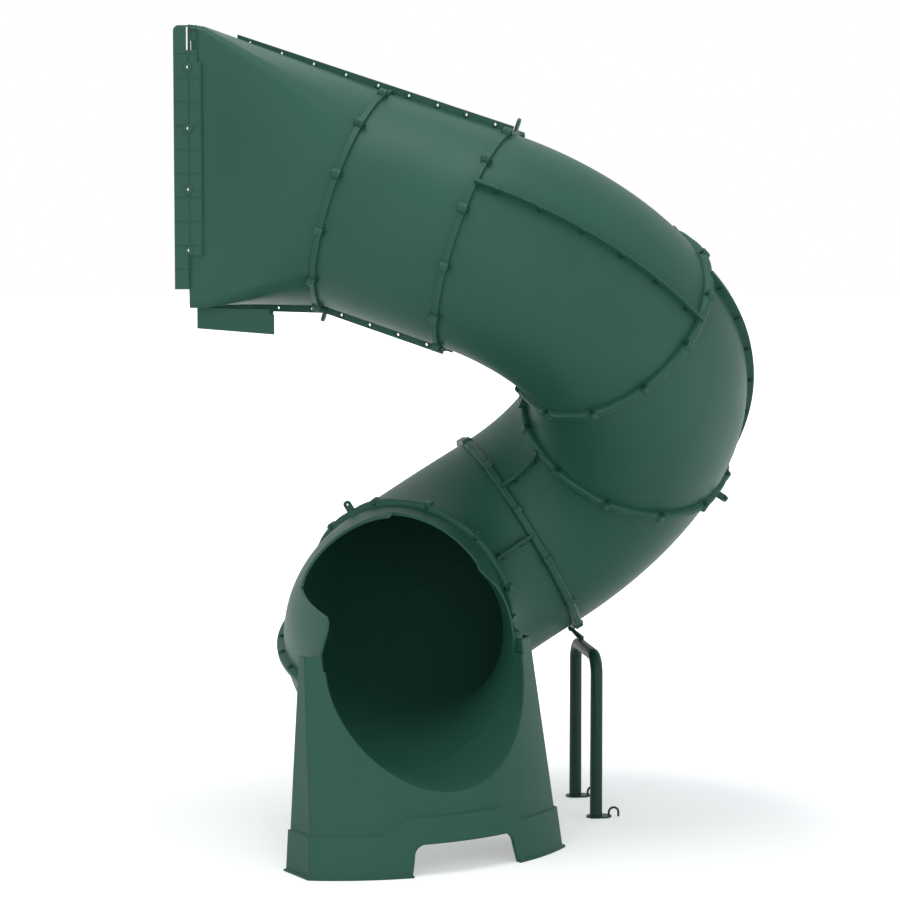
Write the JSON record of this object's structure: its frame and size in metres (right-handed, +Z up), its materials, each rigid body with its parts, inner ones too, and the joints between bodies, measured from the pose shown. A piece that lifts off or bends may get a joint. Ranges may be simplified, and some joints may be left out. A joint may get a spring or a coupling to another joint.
{
  "type": "spiral tube slide",
  "caption": "Green spiral tube slide for a raised play deck: a tall entrance hood, a short straight, bolted half-shell elbows, an exit foot and a support post.",
  "frame": {"origin": "the middle of the footprint, on the ground", "axes": "+X square away from the deck and out of the entrance mouth, +Z up, +Y to the far side when the mouth is on the left"},
  "size_m": [1.7085, 1.3931, 2.405],
  "materials": {
    "moulded_plastic": "satin",
    "post_paint": "satin",
    "hardware_paint": "satin"
  },
  "bodies": {
    "root": {"hood_near": "moulded_plastic", "hood_far": "moulded_plastic", "mounting_strip_near": "moulded_plastic", "mounting_strip_far": "moulded_plastic", "deck_bracket": "moulded_plastic", "straight_near": "moulded_plastic", "straight_far": "moulded_plastic", "elbow_a_upper": "moulded_plastic", "elbow_a_lower": "moulded_plastic", "elbow_b_upper": "moulded_plastic", "elbow_b_lower": "moulded_plastic", "elbow_c_upper": "moulded_plastic", "elbow_c_lower": "moulded_plastic", "elbow_d_upper": "moulded_plastic", "elbow_d_lower": "moulded_plastic", "exit_upper": "moulded_plastic", "exit_lower": "moulded_plastic", "exit_foot": "moulded_plastic", "support_post": "post_paint", "base_plates": "post_paint", "ground_stakes": "hardware_paint", "hanger_strap": "hardware_paint", "hanger_bolts": "hardware_paint", "joint_1_bolts": "hardware_paint", "joint_2_bolts": "hardware_paint", "joint_3_bolts": "hardware_paint", "joint_4_bolts": "hardware_paint", "joint_5_bolts": "hardware_paint", "joint_6_bolts": "hardware_paint", "joint_7_bolts": "hardware_paint", "seam_a_bolts": "hardware_paint", "seam_b_bolts": "hardware_paint", "seam_c_bolts": "hardware_paint", "seam_d_bolts": "hardware_paint", "exit_seam_bolts": "hardware_paint"}
  },
  "joints": []
}
